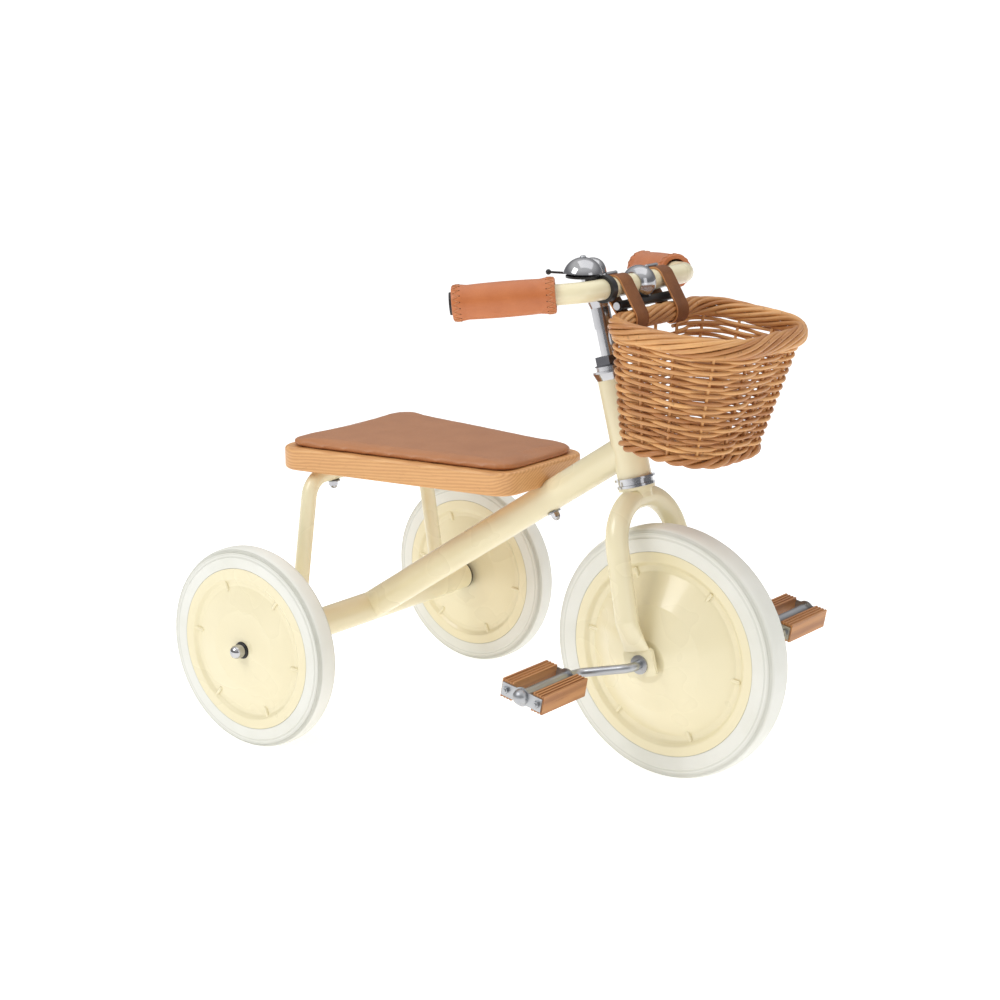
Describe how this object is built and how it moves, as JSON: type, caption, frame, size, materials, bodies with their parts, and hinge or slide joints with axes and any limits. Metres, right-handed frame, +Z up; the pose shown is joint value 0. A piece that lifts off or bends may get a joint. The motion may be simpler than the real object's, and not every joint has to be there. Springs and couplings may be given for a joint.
{
  "type": "children's tricycle",
  "caption": "Child's pedal tricycle: a leaning fork, swept handlebar and basket lead a sloping tube frame with a padded wooden seat over the rear axle.",
  "frame": {"origin": "on the ground, under the middle of the overall length, in the middle plane", "axes": "+X to the front, +Y to the rider's left, +Z up; the rear axle lies along Y"},
  "size_m": [0.699, 0.4814, 0.5823],
  "materials": {
    "cream_paint": "gloss cream enamel",
    "seat_oak": "clear satin lacquer",
    "pedal_oak": "oiled",
    "seat_leather": "smooth tan",
    "grip_leather": "tan, hand-stitched collars",
    "strap_leather": "brown suede with raw edges",
    "wicker": "buff willow, lacquered",
    "tyre_rubber": "off-white, matt",
    "chrome": "polished",
    "dark_chrome": "smoked",
    "zinc": "bright zinc",
    "steel": "plain turned",
    "black_plastic": "satin moulded"
  },
  "bodies": {
    "frame": {"main_tube": "cream_paint", "head_tube": "cream_paint", "rear_axle_tube": "cream_paint", "seat_arch": "cream_paint", "seat_board": "seat_oak", "seat_cushion": "seat_leather", "seat_bolts": "zinc", "seat_washers": "zinc", "seat_nuts": "chrome", "rear_axle": "steel", "rear_axle_bushes": "black_plastic", "rear_axle_washers": "black_plastic", "rear_axle_caps": "chrome", "headset_cups": "chrome", "headset_balls": "steel"},
    "steering": {"fork_tube": "cream_paint", "fork_dropouts": "cream_paint", "front_axle_bushes": "zinc", "steerer_tube": "steel", "fork_crown": "cream_paint", "crown_race": "chrome", "top_race": "chrome", "headset_locknut": "dark_chrome", "stem": "chrome", "stem_bolts": "steel", "expander_wedge": "steel", "handlebar": "cream_paint", "grip_left": "grip_leather", "grip_right": "grip_leather", "bar_plugs": "black_plastic", "bell_bracket": "black_plastic", "bell_dome": "chrome", "bell_fasteners": "zinc", "basket": "wicker", "basket_rim": "wicker", "strap_right": "strap_leather", "strap_left": "strap_leather", "strap_buckles": "chrome", "basket_spacer": "black_plastic", "spacer_bolts": "chrome"},
    "bell_lever": {"bell_lever": "black_plastic"},
    "front_wheel": {"front_tyre": "tyre_rubber", "front_discs": "cream_paint", "front_hub": "steel", "crank_axle": "zinc", "pedal_push_nuts": "steel"},
    "pedal_left": {"pedal_blocks_left": "pedal_oak", "pedal_cage_left": "zinc", "pedal_bolts_left": "zinc", "pedal_cap_left": "zinc"},
    "rear_wheel_left": {"rear_tyre_left": "tyre_rubber", "rear_discs_left": "cream_paint", "rear_hub_left": "black_plastic"},
    "pedal_right": {"pedal_blocks_right": "pedal_oak", "pedal_cage_right": "zinc", "pedal_bolts_right": "zinc", "pedal_cap_right": "zinc"},
    "rear_wheel_right": {"rear_tyre_right": "tyre_rubber", "rear_discs_right": "cream_paint", "rear_hub_right": "black_plastic"}
  },
  "joints": [
    {"name": "steering_turn", "type": "hinge", "parent": "frame", "child": "steering", "pos_m": [0.2065, 0, 0.143], "axis": [-0.2504, 0, 0.9681], "range_deg": [-60, 60]},
    {"name": "front_wheel_spin", "type": "hinge", "parent": "steering", "child": "front_wheel", "pos_m": [0.2065, 0, 0.143], "axis": [0, 1, 0], "continuous": true},
    {"name": "pedal_left_spin", "type": "hinge", "parent": "front_wheel", "child": "pedal_left", "pos_m": [0.26156, 0.158, 0.15321], "axis": [0, 1, 0], "continuous": true},
    {"name": "pedal_right_spin", "type": "hinge", "parent": "front_wheel", "child": "pedal_right", "pos_m": [0.15144, -0.158, 0.13279], "axis": [0, 1, 0], "continuous": true},
    {"name": "rear_wheel_left_spin", "type": "hinge", "parent": "frame", "child": "rear_wheel_left", "pos_m": [-0.2315, 0.205, 0.118], "axis": [0, 1, 0], "continuous": true},
    {"name": "rear_wheel_right_spin", "type": "hinge", "parent": "frame", "child": "rear_wheel_right", "pos_m": [-0.2315, -0.205, 0.118], "axis": [0, 1, 0], "continuous": true},
    {"name": "bell_lever_push", "type": "hinge", "parent": "steering", "child": "bell_lever", "pos_m": [0.12496, -0.07491, 0.56192], "axis": [0, 0, 1], "range_deg": [0, 22], "stiffness_Nm_per_rad": 0.01}
  ]
}
